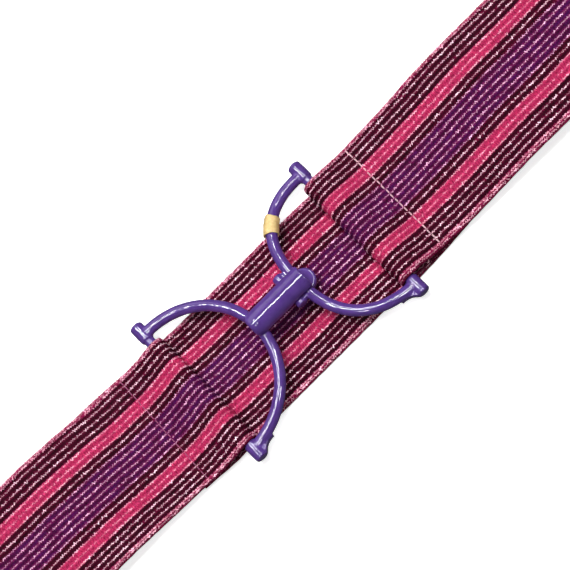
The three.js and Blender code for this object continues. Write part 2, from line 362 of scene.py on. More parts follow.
# x and y are in mm, a width is a share of ELASTIC_WIDTH, and crowding is a share of the width.
LAY = {
    "x": (-167, -128, -100, -80, -69, -59, -46, -30, 30, 43, 54, 69, 90, 116, 128, 167),
    "upper_y": (
        -0.8, -0.6, -0.2, -0.35, -0.75, -0.95, -2.1, -1.5,
        -0.9, -0.7, -0.3, -0.35, -0.4, -0.7, -0.8, -0.8,
    ),
    "upper_width": (
        1.02, 1.02, 1.022, 1.006, 0.996, 1.0, 0.995, 0.99,
        0.985, 0.995, 1.012, 1.03, 1.04, 1.044, 1.04, 1.02,
    ),
    "lower_y": (-0.8, -0.8, 1.5, 1.7, 1.6, 1.0, -0.1, -1.0, -1.2, -1.8, -1.4, -0.4, 1.0, 1.4, -0.8, -0.8),
    "lower_width": (
        1.02, 1.02, 1.0, 0.99, 0.98, 0.98, 0.98, 0.98, 0.98, 0.98, 0.98, 0.98, 0.99, 1.01, 1.04, 1.02,
    ),
    "upper_crowding": (0, 0.012, 0.025, 0.025, 0.025, 0.022, 0.013, 0.004, 0, 0, 0, 0, 0, 0, 0, 0),
}


def waves(at, phase, *lengths):
    """A calm, irregular wave between -1 and 1 with these wave lengths."""
    turns = [np.sin(2 * math.pi * at / length + phase * (2.1 + 1.7 * k)) for k, length in enumerate(lengths)]
    return sum(turns) / len(lengths)


def smooth_step(value, low, high):
    t = np.clip((value - low) / (high - low), 0, 1)
    return t * t * (3 - 2 * t)


def half_of(share):
    """Half of the strip's thickness: less in a groove and at the edges."""
    away = np.abs((share - FIRST_GROOVE + RIB_SHARE / 2) % RIB_SHARE - RIB_SHARE / 2) * ELASTIC_WIDTH
    groove = GROOVE_DEPTH * np.exp(-((away / GROOVE_WIDTH) ** 2))
    from_edge = np.minimum(share, 1 - share) * ELASTIC_WIDTH
    edge = SELVEDGE_THINNING * (1 - np.clip(from_edge / SELVEDGE, 0, 1)) ** 2
    return half_thickness - groove - edge


def on_strip(along, share, lift, face):
    """Places on one face of the strip: face 1 is the outer one, -1 the inner, 0 the middle."""
    along, share, lift = np.broadcast_arrays(along, share, lift)
    x, z = np.interp(along, run, line_x), np.interp(along, run, line_z)
    turned = np.interp(along, run, line_turn)
    out_x, out_z = np.sin(turned), -np.cos(turned)
    out = np.abs(x)
    above = smooth_step(z, seam_height - LAYER_GAP, seam_height)
    loose = above * smooth_step(out, bar_x + BILLOW_START, bar_x + BILLOW_FULL)
    billow = BILLOW * loose * waves(along, 3 * share + 1, 41 * MM, 67 * MM, 23 * MM)
    seam = np.where(x < 0, LEFT_SEAM, RIGHT_SEAM) + bar_x
    pulled = SEAM_PULL * np.exp(-(((out - seam) / SEAM_PULL_WIDTH) ** 2)) * above * (face > 0)
    offset = face * (half_of(share) + lift - pulled) + billow
    upper = smooth_step(z, *(part * ELASTIC_THICKNESS for part in LAYER_CHANGE))
    centre, width = (
        upper * np.interp(x / MM, LAY["x"], LAY["upper_" + key])
        + (1 - upper) * np.interp(x / MM, LAY["x"], LAY["lower_" + key])
        for key in ("y", "width")
    )
    from_middle = np.abs(2 * share - 1)
    crowding = upper * np.interp(x / MM, LAY["x"], LAY["upper_crowding"])
    crowding = crowding * (1 - from_middle ** CROWDING_POWER)
    side = from_middle ** EDGE_POWER * np.sign(0.5 - share)
    sway = SWAY * waves(along, 5, 53 * MM, 31 * MM, 97 * MM) * (1 - side ** 2)
    ragged = side * RAGGED_EDGE * waves(along, 9 * np.sign(share - 0.5), 4.3 * MM, 2.9 * MM, 7.1 * MM)
    y = centre * MM + (0.5 - share - crowding) * width * ELASTIC_WIDTH + sway + ragged
    return np.stack([x + out_x * offset, y, z + out_z * offset], axis=-1)


print("middle of the strip lies at", on_strip(strip_length / 2, 0.5, 0, 0).round(4))

# %% [markdown]
# ## The woven elastic
# The strip could be a flat sheet with a bump, but its ribs show at the folds and along the edges, so
# they are real here. Rows stand close where the strip turns and far apart where it is straight, and
# five columns make up each rib.

# %% Weave the strip
ROW_TURN = 0.2
ROW_STEP = (0.5 * MM, 2.1 * MM)
RIB_COLUMNS = 5
EDGE_COLUMN = 0.004
LAST_RIB_COLUMN = 0.99


def row_places():
    curl = np.abs(np.gradient(line_turn, run))
    step = np.clip(ROW_TURN / np.maximum(curl, 1e-6), *ROW_STEP)
    count = np.concatenate([[0], np.cumsum(np.diff(run) / step[1:])])
    return np.interp(np.linspace(0, count[-1], int(count[-1]) + 1), count, run)


def column_shares():
    inner = FIRST_GROOVE + RIB_SHARE / RIB_COLUMNS * np.arange(RIB_COLUMNS * RIB_COUNT)
    return np.concatenate([[0, EDGE_COLUMN], inner[inner < LAST_RIB_COLUMN], [1 - EDGE_COLUMN, 1]])


def weave_strip():
    rows, columns = row_places(), column_shares()
    outer = on_strip(rows[:, None], columns[None, :], 0, 1)
    inner = on_strip(rows[:, None], columns[None, ::-1], 0, -1)
    ring = 2 * len(columns)
    points = np.concatenate([outer, inner], axis=1).reshape(-1, 3)
    faces = ring_quads(len(rows), ring)
    place = np.arange(len(columns) - 1)
    end_cap = np.stack([place, place + 1, ring - 2 - place, ring - 1 - place], axis=-1)
    far_cap = end_cap[:, ::-1] + (len(rows) - 1) * ring
    piece = make_piece("woven_elastic", points, np.concatenate([faces, end_cap, far_cap]))
    shares = np.concatenate([columns, columns[::-1]])
    corner = np.empty(len(piece.data.loops), dtype=np.int32)
    piece.data.loops.foreach_get("vertex_index", corner)
    weave_map = piece.data.uv_layers.new(name="weave")
    woven_at = np.stack([rows[corner // ring], shares[corner % ring]], axis=-1)
    weave_map.data.foreach_set("uv", woven_at.ravel())
    return piece


woven = weave_strip()
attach(woven, "root")
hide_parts("elastic_band")
print("woven elastic", count_triangles(woven), "triangles")

# %% [markdown]
# ## The striped cloth
# The finish reads the share of the width from the strip's own map and turns it into a yarn colour. A
# fine noise shakes the border of each stripe, because real yarns don't change colour on a ruled line.
# Each yarn has three colours: on the crown of a rib, in the groove beside it, and in cloudy patches
# where the dye took differently. Short cross streaks stand for the covering yarns, with a bump.

# %% Finish of the woven cloth
YARNS = {
    "edge": {"crown": linear(92, 12, 42), "groove": linear(150, 34, 78), "patch": linear(120, 20, 60)},
    "dark": {"crown": linear(40, 1, 16), "groove": linear(96, 8, 44), "patch": linear(58, 3, 26)},
    "pink": {"crown": linear(172, 38, 82), "groove": linear(192, 52, 100), "patch": linear(176, 38, 80)},
    "purple": {"crown": linear(64, 6, 48), "groove": linear(108, 20, 74), "patch": linear(64, 12, 72)},
}
YARN_GRAIN = (2600, 60, 1)
CROSS_GRAIN = (2300, 52, 1)
PATCH_GRAIN = (190, 24, 1)
BORDER_SHAKE = 0.024
PATCH_BORDER = (0.4, 0.72)
RIB_CROWN = (0.1, 0.36)
NOISE_SPAN = (0.3, 0.7)
CROSS_LIGHT = (0.42, 1.6)
PATCH_LIGHT = (0.85, 1.15)


def finish_cloth():
    finish, tree, shader = make_finish("striped_elastic")
    weave = add_node(tree, "ShaderNodeUVMap", uv_map="weave").outputs["UV"]
    across = add_node(tree, "ShaderNodeSeparateXYZ", {0: weave}).outputs["Y"]
    shaken = add_math(tree, "SUBTRACT", add_grain(tree, weave, YARN_GRAIN, 2), 0.5)
    share = add_math(tree, "MULTIPLY_ADD", shaken, BORDER_SHAKE, across)
    starts = [0] + [stripe["end"] for stripe in STRIPES[:-1]]
    crown, groove, cloud = (
        add_ramp(
            tree, share, [(start, YARNS[stripe["yarn"]][part]) for start, stripe in zip(starts, STRIPES)],
            "CONSTANT",
        )
        for part in ("crown", "groove", "patch")
    )
    patch = add_grain(tree, weave, PATCH_GRAIN, 3)
    crown = mix_colours(tree, add_range(tree, patch, *PATCH_BORDER), crown, cloud)
    from_groove = add_math(tree, "SUBTRACT", share, FIRST_GROOVE)
    on_rib = add_math(tree, "PINGPONG", from_groove, RIB_SHARE / 2)
    rib_top = add_range(tree, on_rib, *(part * RIB_SHARE for part in RIB_CROWN))
    stripes = mix_colours(tree, rib_top, groove, crown)
    cross = add_grain(tree, weave, CROSS_GRAIN, 2)
    cross_light = add_range(tree, cross, *NOISE_SPAN, *CROSS_LIGHT)
    patch_light = add_range(tree, patch, *NOISE_SPAN, *PATCH_LIGHT)
    light = add_math(tree, "MULTIPLY", cross_light, patch_light)
    colour = add_node(tree, "ShaderNodeVectorMath", {0: stripes, "Scale": light}, operation="SCALE")
    tree.links.new(colour.outputs[0], shader.inputs["Base Color"])
    add_bump(tree, shader, cross, 0.6, 0.12 * MM)
    set_sockets(shader, {"Roughness": 0.8, "Specular IOR Level": 0.03})
    return finish


woven.data.materials.append(finish_cloth())
print("cloth finished with", len(STRIPES), "stripes")

# %% [markdown]
# ## The metallic threads
# What makes this webbing glitter is a flat metallic thread in each groove. It zigzags from side to side,
# shows as bright knots, and dips below the ribs in between. Each thread is a thin strand with four
# sides, so its small faces catch the light at different angles, as the real foil does. The knots' glints
# are painted as well: each step's colour lies between the thread's unlit colour and a painted glint, and
# the peaks of the zigzag get more of the glint. The steps are longer on the floor and inside the loop.

# %% Looks of the threads by the yarn beside them
# Each look gives the thread's unlit colour and its colour under a painted glint, from dim to bright.
THREADS = {
    "edge": {"unlit_colour": (140, 42, 80), "glint_colour": (255, 180, 206), "hidden": 0.14, "width": 0.5},
    "dark": {"unlit_colour": (158, 80, 106), "glint_colour": (255, 214, 230), "hidden": 0.12, "width": 0.43},
    "pink": {"unlit_colour": (200, 60, 104), "glint_colour": (255, 168, 200), "hidden": 0.38, "width": 0.4},
    "stripe_edge": {"unlit_colour": (198, 72, 114), "glint_colour": (255, 194, 216), "hidden": 0.2, "width": 0.43},
    "purple": {"unlit_colour": (138, 44, 108), "glint_colour": (250, 184, 226), "hidden": 0.14, "width": 0.41},
}
THREAD_STEP = 0.46 * MM
UNSEEN_STEP = {1: 1.35 * MM, -1: 1.15 * MM}
THREAD_THICKNESS = 0.15 * MM
THREAD_SWING = 0.24 * MM
THREAD_PEAK = 0.42 * MM
THREAD_DIP = 0.16 * MM
THREAD_JITTER = 0.3
THREAD_ROLL = 0.5
THREAD_LIFTS = (-0.05, 0.03)
THREAD_WIDTHS = (0.55, 1.4)
PAST_EDGE = 0.003
YARN_REACH = 0.012
FAR_EDGE_STRANDS = (0.006, 0.023)
NEAR_EDGE_STRANDS = (0.965, 0.985)
strands = np.concatenate([FAR_EDGE_STRANDS, grooves[1:-1], NEAR_EDGE_STRANDS])


def thread_look(share):
    near = {yarn_at(share - YARN_REACH), yarn_at(share + YARN_REACH)}
    if "pink" in near:
        return "pink" if len(near) == 1 else "stripe_edge"
    return "edge" if "edge" in near else "purple" if "purple" in near else "dark"


def thread_places(face):
    lower = line_z < ELASTIC_THICKNESS
    unseen = lower if face > 0 else ~lower
    step = np.where(unseen, UNSEEN_STEP[face], THREAD_STEP)
    count = np.concatenate([[0], np.cumsum(np.diff(run) / step[1:])])
    return np.interp(np.arange(1, int(count[-1])), count, run)


def lay_threads(name, face, seed):
    dice = np.random.default_rng(seed)
    places = thread_places(face)
    count = len(places)
    points, faces, glint_tints = [], [], []
    to_side = np.where(np.arange(count) % 2, 1, -1)
    for share in strands:
        look = THREADS[thread_look(share)]
        along = places + dice.uniform(-THREAD_JITTER, THREAD_JITTER, count) * THREAD_STEP
        peak = dice.random(count) ** 3
        swing = (THREAD_SWING * dice.uniform(0.2, 1, count) + THREAD_PEAK * peak) * to_side
        hidden = dice.random(count) < look["hidden"]
        lift = GROOVE_DEPTH - 0.6 * THREAD_THICKNESS + dice.uniform(*THREAD_LIFTS, count) * MM
        lift = lift - hidden * THREAD_DIP - GROOVE_DEPTH * (1 - np.exp(-((swing / GROOVE_WIDTH) ** 2)))
        across = np.clip(share + swing / ELASTIC_WIDTH, -PAST_EDGE, 1 + PAST_EDGE)
        centre = on_strip(along, across, lift, face)
        ahead = np.gradient(centre, axis=0)
        ahead /= np.linalg.norm(ahead, axis=1)[:, None]
        turned = np.interp(along, run, line_turn)
        upward = face * np.stack([np.sin(turned), np.zeros(count), -np.cos(turned)], axis=-1)
        beside = np.cross(ahead, upward)
        roll = dice.uniform(-THREAD_ROLL, THREAD_ROLL, count)[:, None]
        wide = (beside * np.cos(roll) + upward * np.sin(roll)) * look["width"] * MM / 2
        thick = (upward * np.cos(roll) - beside * np.sin(roll)) * THREAD_THICKNESS / 2
        calm = 0.5 + 0.5 * waves(along, share * 40, 9 * MM, 5.3 * MM, 17 * MM)
        # Painted glint: how much of the glint colour each step gets, more at the peaks of the zigzag.
        painted_glint = np.clip(dice.random(count) ** 1.6 * (0.5 + 0.9 * calm) + 0.5 * peak, 0, 1)[:, None]
        wide = wide * (THREAD_WIDTHS[0] + (THREAD_WIDTHS[1] - THREAD_WIDTHS[0]) * painted_glint)
        ring = np.stack([centre + wide, centre + thick, centre - wide, centre - thick], axis=1)
        start = 4 * len(glint_tints)
        points.append(ring.reshape(-1, 3))
        faces.append(ring_quads(count, 4, start))
        faces.append(np.array([[start, start + 3, start + 2, start + 1]]))
        last = start + 4 * (count - 1)
        faces.append(np.array([[last, last + 1, last + 2, last + 3]]))
        # Each step's colour is mixed from the unlit colour towards the painted glint.
        unlit_colour, glint_colour = (np.array(linear(*look[key])) for key in ("unlit_colour", "glint_colour"))
        glint_tints.extend(unlit_colour + (glint_colour - unlit_colour) * painted_glint)
    piece = make_piece(name, np.concatenate(points), np.concatenate(faces), smooth=False)
    # This colour attribute carries the painted glints to the finish.
    glint_tint = piece.data.color_attributes.new("glint_tint", "FLOAT_COLOR", "POINT")
    glint_tint.data.foreach_set("color", np.repeat(np.array(glint_tints), 4, axis=0).ravel())
    return piece


threads = [lay_threads("metallic_threads_outer", 1, 11), lay_threads("metallic_threads_inner", -1, 12)]
for piece in threads:
    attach(piece, "root")
    print(piece.name, count_triangles(piece), "triangles")


# %% Finish of the metallic threads
def finish_threads():
    finish, tree, shader = make_finish("metallic_thread")
    # The base colour reads the steps' colours, painted glints included.
    glint_tint = add_node(tree, "ShaderNodeAttribute", attribute_name="glint_tint").outputs["Color"]
    tree.links.new(glint_tint, shader.inputs["Base Color"])
    set_sockets(shader, {"Metallic": 0.15, "Roughness": 0.36, "Coat Weight": 0.2, "Coat Roughness": 0.2})
    return finish


thread_finish = finish_threads()
for piece in threads:
    piece.data.materials.append(thread_finish)
print("threads finished")

# %% [markdown]
# ## The stitched seams
# Each end of the strip is folded round its bar and sewn down with one row of straight stitches across
# the belt. A stitch spans one rib and sinks in at the grooves, so it is a short thread that bows up in
# the middle. The right row is sewn in pale pink, the left one in a mauve that hardly shows.

# %% Sew both rows
STITCH_SIDES = 6
STITCH_ROWS = 7
STITCH_REACH = 0.42
STITCH_WANDER = 0.12
SEAMS = [
    {
        "name": "stitches_left", "side": -1, "seam": LEFT_SEAM, "lean": -1.7 * MM,
        "thread": 0.36 * MM, "colour": (170, 60, 116),
    },
    {
        "name": "stitches_right", "side": 1, "seam": RIGHT_SEAM, "lean": 0.5 * MM,
        "thread": 0.48 * MM, "colour": (255, 206, 220),
    },
]


def along_at(side, out):
    """How far along the strip the upper layer is at this distance from the middle."""
    upper = (line_z > seam_height - LAYER_GAP) & (line_x * side > bar_x) & (np.abs(line_x) < turn_x)
    order = np.argsort(line_x[upper] * side)
    return float(np.interp(out, (line_x[upper] * side)[order], run[upper][order]))


def sew(row, seed):
    dice = np.random.default_rng(seed)
    points, faces = [], []
    for index, (start, end) in enumerate(zip(grooves[:-1], grooves[1:])):
        middle = (start + end) / 2
        reach = STITCH_REACH * (end - start) * dice.uniform(0.85, 1.1)
        t = np.linspace(-1, 1, STITCH_ROWS)
        share = middle + reach * t
        wander = dice.uniform(-STITCH_WANDER, STITCH_WANDER) * MM
        out = bar_x + row["seam"] + row["lean"] * (0.5 - share) + wander
        along = np.array([along_at(row["side"], place) for place in out])
        lift = row["thread"] * (0.42 - 0.75 * t ** 4)
        centre = on_strip(along, share, lift, 1)
        radius = row["thread"] / 2 * np.sqrt(np.clip(1.06 - t ** 6, 0.05, 1))
        angle = np.linspace(0, 2 * math.pi, STITCH_SIDES, endpoint=False)
        spin = np.stack([np.cos(angle), np.zeros(STITCH_SIDES), np.sin(angle)], axis=-1)
        ring = centre[:, None, :] + spin[None] * radius[:, None, None]
        points.append(ring.reshape(-1, 3))
        faces.extend(closed_faces(STITCH_ROWS, STITCH_SIDES, index * STITCH_ROWS * STITCH_SIDES))
    return make_piece(row["name"], np.concatenate(points), faces)


def finish_stitches(row):
    finish, tree, shader = make_finish("thread_of_" + row["name"])
    place = add_node(tree, "ShaderNodeTexCoord").outputs["Object"]
    twist = add_noise(tree, place, 2200, 1)
    plain = linear(*row["colour"])
    dull = tuple(0.6 * value for value in plain[:3]) + (1,)
    tree.links.new(add_ramp(tree, twist, [(0.35, dull), (0.6, plain)]), shader.inputs["Base Color"])
    set_sockets(shader, {"Roughness": 0.55})
    return finish


for number, row in enumerate(SEAMS):
    piece = sew(row, 21 + number)
    piece.data.materials.append(finish_stitches(row))
    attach(piece, "root")
    print(piece.name, count_triangles(piece), "triangles")

# %% [markdown]
# ## The clasp's castings
# Each half is one casting with soft inner corners, because the enamel flows into them. So a half is put
# together from round pins, tubes and blocks, melted into one skin with a voxel remesh, and then
# smoothed. The smoothing fills the corners and rounds the edges by about the thickness of the coat.

# %% Sizes of the clasp, in metres
KNOB_LENGTH = 7.3 * MM
KNOB_RIM = 0.8 * MM
KNOB_CLEARANCE = 0.9 * MM
ARM_DIAMETER = 4.2 * MM
ARM_FROM_KNOB_END = 2.7 * MM
HUB_HEIGHT = 10 * MM
FLARE_LENGTH = 5.2 * MM
FLARE_DEPTH = 1.9 * MM
FLARE_THICKNESS = 3 * MM
BARREL_DIAMETER = 9.2 * MM
BARREL_START = -11.3 * MM
BARREL_END = 14.3 * MM
BARREL_LIFT = 2.8 * MM
BARREL_NOSE = 1.5 * MM
BARREL_TAPER = 0.35 * MM
BARREL_TAPER_LENGTH = 3.2 * MM
BARREL_RIM = 0.4 * MM
BAR_RIM = 0.1 * MM
HOOK_WIDTH = 4.8 * MM
HOOK_THICKNESS = 2 * MM
HOOK_TOE_REACH = 3 * MM
HOOK_TOE_HEIGHT = 1.8 * MM
CLASP_CLEARANCE = 0.3 * MM
CROSSBAR_DIAMETER = 4.4 * MM
CROSSBAR_LENGTH = 14 * MM
CROSSBAR_OFFSET = 4.2 * MM
CROSSBAR_RIM = 0.8 * MM
CHEEK_HEIGHT = 3.2 * MM
PLATE_DIAMETER = 8.9 * MM
PLATE_X = 13.2 * MM
PLATE_THICKNESS = 3.2 * MM
PLATE_DROP = 1.6 * MM
PLATE_RIM = 0.5 * MM
ROUND_SIDES = 64
HALVES = {
    "left": {"side": -1, "hub_x": -8.9 * MM, "fullness": 2.0, "slip": (left_low.y + left_high.y) / 2},
    "right": {"side": 1, "hub_x": 11.65 * MM, "fullness": 2.42, "slip": (right_low.y + right_high.y) / 2},
}

knob_inner_end = ELASTIC_WIDTH / 2 + KNOB_CLEARANCE
knob_middle = knob_inner_end + KNOB_LENGTH / 2
arm_y = knob_inner_end + ARM_FROM_KNOB_END
crossbar_x = HALVES["right"]["hub_x"] - CROSSBAR_OFFSET
slot_start = crossbar_x + CROSSBAR_DIAMETER / 2
slot_end = slot_start + HOOK_THICKNESS + 2 * CLASP_CLEARANCE
slot_half_width = HOOK_WIDTH / 2 + 2 * abs(HALVES["left"]["slip"]) + CLASP_CLEARANCE
print("arms end", round(arm_y / MM, 2), "mm from the middle line")


# %% Pins, tubes, blocks and cuts
def tube(points, radii, sides=40):
    """A round tube along points, closed at both ends."""
    ahead = np.gradient(points, axis=0)
    ahead /= np.linalg.norm(ahead, axis=1)[:, None]
    beside = np.cross(ahead, np.array([0.0, 0.0, 1.0]))
    beside /= np.linalg.norm(beside, axis=1)[:, None]
    upward = np.cross(beside, ahead)
    angle = np.linspace(0, 2 * math.pi, sides, endpoint=False)[None, :, None]
    spin = beside[:, None] * np.cos(angle) + upward[:, None] * np.sin(angle)
    ring = points[:, None] + spin * np.asarray(radii)[:, None, None]
    return ring.reshape(-1, 3), closed_faces(len(points), sides)


def pin(start, end, diameter, rim):
    """A straight round pin with its two rims rounded."""
    start, end = np.asarray(start, dtype=float), np.asarray(end, dtype=float)
    length = np.linalg.norm(end - start)
    turned = np.linspace(0, math.pi / 2, 7)
    at = np.concatenate([rim * (1 - np.cos(turned)), length - rim * (1 - np.sin(turned))])
    radii = diameter / 2 - rim * np.concatenate([1 - np.sin(turned), 1 - np.cos(turned)])
    return tube(start + (end - start) / length * at[:, None], radii)


def block(low, high):
    x, y, z = zip(low, high)
    points = [(x[i], y[j], z[k]) for i in (0, 1) for j in (0, 1) for k in (0, 1)]
    faces = [(0, 1, 3, 2), (4, 6, 7, 5), (0, 4, 5, 1), (2, 3, 7, 6), (0, 2, 6, 4), (1, 5, 7, 3)]
    return np.array(points), [list(face) for face in faces]


def together(*shapes):
    points, faces, start = [], [], 0
    for shape_points, shape_faces in shapes:
        points.append(shape_points)
        faces.extend([[corner + start for corner in face] for face in shape_faces])
        start += len(shape_points)
    return np.concatenate(points), faces


def modified(piece, kind, **settings):
    """The piece with one modifier applied to its mesh."""
    modifier = piece.modifiers.new(kind.lower(), kind)
    for key, value in settings.items():
        setattr(modifier, key, value)
    worked = bpy.data.meshes.new_from_object(piece.evaluated_get(bpy.context.evaluated_depsgraph_get()))
    piece.modifiers.clear()
    piece.data = worked
    return piece


def cut(shape, cutter):
    body, tool = make_piece("body", *shape), make_piece("tool", *cutter)
    modified(body, "BOOLEAN", operation="DIFFERENCE", object=tool, solver="EXACT")
    points = np.array([vertex.co[:] for vertex in body.data.vertices])
    faces = [list(face.vertices) for face in body.data.polygons]
    for scrap in (body, tool):
        bpy.data.objects.remove(scrap)
    return points, faces


# %% Arms, bar, knobs and flare of one half
ARM_STEP = 0.35 * MM


def arm_line(half):
    """Centre line of both arms, evenly spaced from the lower knob over the hub to the upper knob."""
    angle = np.linspace(-math.pi / 2, math.pi / 2, 4001)
    power = 2 / half["fullness"]
    inward = np.maximum(np.cos(angle), 0) ** power
    across = np.sign(angle) * np.abs(np.sin(angle)) ** power
    end_x = half["side"] * bar_x
    fine = np.stack([
        end_x + (half["hub_x"] - end_x) * inward,
        arm_y * across,
        bar_height + (HUB_HEIGHT - bar_height) * inward,
    ], axis=-1)
    reach = np.concatenate([[0], np.cumsum(np.linalg.norm(np.diff(fine, axis=0), axis=1))])
    even = np.linspace(0, reach[-1], int(reach[-1] / ARM_STEP))
    return np.stack([np.interp(even, reach, fine[:, axis]) for axis in range(3)], axis=-1)


def flare(half):
    """Web that widens the arm towards the outer end of the lower knob."""
    side = half["side"]
    x = side * bar_x
    inner = x - side * (KNOB_DIAMETER / 2 + FLARE_LENGTH)
    arm_edge = -arm_y - 0.4 * ARM_DIAMETER
    outer = -arm_y - ARM_DIAMETER / 2 - FLARE_DEPTH
    start, pull, end = (
        np.array(place)
        for place in (
            (x - side * KNOB_DIAMETER / 2, outer),
            (x - side * (KNOB_DIAMETER / 2 + 0.3 * FLARE_LENGTH), arm_edge),
            (inner, arm_edge),
        )
    )
    t = np.linspace(0, 1, 13)[:, None]
    curve = start * (1 - t) ** 2 + 2 * pull * t * (1 - t) + end * t ** 2
    outline = np.vstack([[(x, outer)], curve, [(inner, -arm_y), (x, -arm_y)]])
    heights = np.array([-0.5, 0.5]) * FLARE_THICKNESS + bar_height
    layers = [np.column_stack([outline, np.full(len(outline), height)]) for height in heights]
    return np.concatenate(layers), closed_faces(2, len(outline))


def harp(half, arms):
    x = half["side"] * bar_x
    bar = pin((x, -knob_middle, bar_height), (x, knob_middle, bar_height), BAR_DIAMETER, BAR_RIM)
    knobs = [
        pin(
            (x, end * knob_middle - KNOB_LENGTH / 2, bar_height),
            (x, end * knob_middle + KNOB_LENGTH / 2, bar_height),
            KNOB_DIAMETER, KNOB_RIM,
        )
        for end in (-1, 1)
    ]
    return together(bar, *knobs, arms, flare(half))


# %% Melt a half into one skin
SKIN_VOXEL = 0.21 * MM
COAT_SMOOTHING = 14
COAT_WAVE = 0.05 * MM
COAT_WAVES = ((1, 3.4 * MM), (0.4, 1.6 * MM))


def cast(name, shape, slip):
    piece = make_piece(name, *shape)
    modified(piece, "REMESH", mode="VOXEL", voxel_size=SKIN_VOXEL, adaptivity=0)
    modified(piece, "SMOOTH", factor=0.5, iterations=COAT_SMOOTHING)
    points = np.array([vertex.co[:] for vertex in piece.data.vertices])
    outward = np.array([normal.vector[:] for normal in piece.data.vertex_normals])
    wave = np.array([
        sum(part * noise.noise(Vector(place) / length) for part, length in COAT_WAVES) for place in points
    ])
    points = points + outward * wave[:, None] * COAT_WAVE + (0, slip, 0)
    piece.data.vertices.foreach_set("co", points.ravel())
    piece.data.update()
    piece.data.polygons.foreach_set("use_smooth", [True] * len(piece.data.polygons))
    return piece


# %% The left half: arms, barrel and hook
def barrel_shape(half):
    centre = HUB_HEIGHT + BARREL_LIFT
    turned = np.linspace(0, math.pi / 2, 9)
    nose = BARREL_NOSE * (1 - np.cos(turned))
    nose_radii = BARREL_DIAMETER / 2 - BARREL_TAPER - BARREL_NOSE * (1 - np.sin(turned))
    rim = BARREL_END - BARREL_START - BARREL_RIM * (1 - np.sin(turned))
    rim_radii = BARREL_DIAMETER / 2 - BARREL_RIM * (1 - np.cos(turned))
    at = np.concatenate([nose, [BARREL_TAPER_LENGTH], rim])
    radii = np.concatenate([nose_radii, [BARREL_DIAMETER / 2], rim_radii])
    barrel = tube(np.array([BARREL_START, 0, centre]) + at[:, None] * (1, 0, 0), radii, ROUND_SIDES)
    saddle_start = crossbar_x - CROSSBAR_DIAMETER / 2 - CLASP_CLEARANCE
    saddle_height = HUB_HEIGHT + CROSSBAR_DIAMETER / 2 + CLASP_CLEARANCE
    below = block(
        (saddle_start, -BARREL_DIAMETER, centre - BARREL_DIAMETER),
        (BARREL_END + BARREL_DIAMETER, BARREL_DIAMETER, saddle_height),
    )
    hook_start, hook_end = slot_start + CLASP_CLEARANCE, slot_end - CLASP_CLEARANCE
    toe_top = HUB_HEIGHT - CROSSBAR_DIAMETER / 2 - CLASP_CLEARANCE
    toe_bottom = toe_top - HOOK_TOE_HEIGHT
    side = HOOK_WIDTH / 2
    shank = block((hook_start, -side, toe_bottom), (hook_end, side, saddle_height + 0.2 * BARREL_DIAMETER))
    toe = block((hook_start - HOOK_TOE_REACH, -side, toe_bottom), (hook_end, side, toe_top))
    line = arm_line(half)
    arms = tube(line, np.full(len(line), ARM_DIAMETER / 2))
    return together(harp(half, arms), cut(barrel, below), shank, toe)


left_half = cast("barrel_casting", barrel_shape(HALVES["left"]), HALVES["left"]["slip"])
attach(left_half, "root")
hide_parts("barrel_half")
print(left_half.name, count_triangles(left_half), "triangles")


# %% The right half: arms, crossbar and round plate
def eye_shape(half):
    crossbar = pin(
        (crossbar_x, -CROSSBAR_LENGTH / 2, HUB_HEIGHT), (crossbar_x, CROSSBAR_LENGTH / 2, HUB_HEIGHT),
        CROSSBAR_DIAMETER, CROSSBAR_RIM,
    )
    cheek_end = CROSSBAR_LENGTH / 2 - CROSSBAR_RIM
    cheeks = [
        block(
            (crossbar_x, min(side * slot_half_width, side * cheek_end), HUB_HEIGHT - CHEEK_HEIGHT / 2),
            (half["hub_x"], max(side * slot_half_width, side * cheek_end), HUB_HEIGHT + CHEEK_HEIGHT / 2),
        )
        for side in (-1, 1)
    ]
    slot = block((slot_start, -slot_half_width, 0), (slot_end, slot_half_width, 2 * HUB_HEIGHT))
    pocket = block((PLATE_X - PLATE_DIAMETER, -slot_half_width, 0), (slot_end, slot_half_width, HUB_HEIGHT))
    plate_top = HUB_HEIGHT - PLATE_DROP
    plate_bottom = plate_top - PLATE_THICKNESS
    angle = np.linspace(0, 2 * math.pi, ROUND_SIDES, endpoint=False)
    levels = [
        (plate_bottom, PLATE_RIM), (plate_bottom + PLATE_RIM, 0),
        (plate_top - PLATE_RIM, 0), (plate_top, PLATE_RIM),
    ]
    plate_rings = []
    for level, inset in levels:
        radius = PLATE_DIAMETER / 2 - inset
        ring = (PLATE_X + radius * np.cos(angle), radius * np.sin(angle), np.full(ROUND_SIDES, level))
        plate_rings.append(np.column_stack(ring))
    plate = cut((np.concatenate(plate_rings), closed_faces(len(levels), ROUND_SIDES)), pocket)
    line = arm_line(half)
    arms = cut(tube(line, np.full(len(line), ARM_DIAMETER / 2)), slot)
    return together(harp(half, arms), crossbar, *cheeks, plate)


right_half = cast("eye_casting", eye_shape(HALVES["right"]), HALVES["right"]["slip"])
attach(right_half, "root")
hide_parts("eye_half")
print(right_half.name, count_triangles(right_half), "triangles")

# %% [markdown]
# ## Purple enamel
# The castings are dipped or sprayed in a thick glossy coat. All its gloss comes from a clear coat over a
# matt, saturated base, which keeps the highlight sharp and the colour beside it deep. A weak
# orange-peel bump makes the highlight waver, as it does on such a coat.

